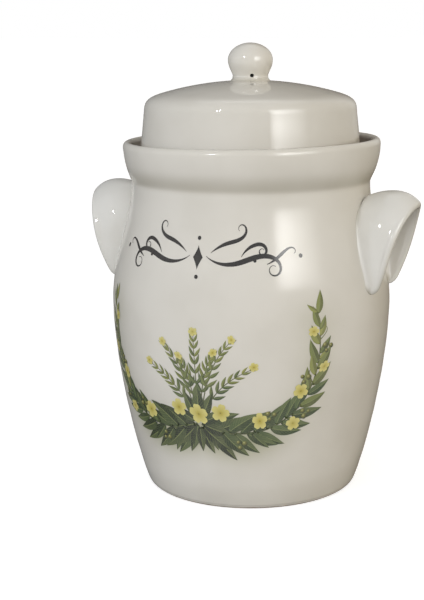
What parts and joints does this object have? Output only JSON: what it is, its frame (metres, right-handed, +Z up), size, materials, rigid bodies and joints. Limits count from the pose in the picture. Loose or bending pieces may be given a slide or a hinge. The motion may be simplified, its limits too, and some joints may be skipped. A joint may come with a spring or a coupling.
{
  "type": "fermentation crock",
  "caption": "Glazed stoneware barrel crock with a water gutter round its mouth, a domed lift-off lid with a ball knob, hooded ear handles and half-round weight stones inside.",
  "frame": {"origin": "centre of the foot on the ground, on the axis of the barrel", "axes": "+Z up along the barrel's axis, +X through the right-hand handle, -Y out of the decorated front"},
  "size_m": [0.2396, 0.194, 0.3051],
  "materials": {
    "glaze": "glossy cream-white glaze",
    "bare_clay": "matt unglazed buff clay"
  },
  "bodies": {
    "crock": {"crock_body": "glaze", "left_handle": "glaze", "right_handle": "glaze"},
    "lid": {"lid_shell": "glaze", "lid_knob": "glaze"},
    "stone_left": {"weight_stone_left": "bare_clay"},
    "stone_right": {"weight_stone_right": "bare_clay"}
  },
  "joints": [
    {"name": "lid_lift", "type": "slide", "parent": "crock", "child": "lid", "axis": [0, 0, 1], "range_m": [0, 0.12]},
    {"name": "stone_left_lift", "type": "slide", "parent": "crock", "child": "stone_left", "axis": [0, 0, 1], "range_m": [0, 0.14]},
    {"name": "stone_right_lift", "type": "slide", "parent": "crock", "child": "stone_right", "axis": [0, 0, 1], "range_m": [0, 0.14]}
  ]
}
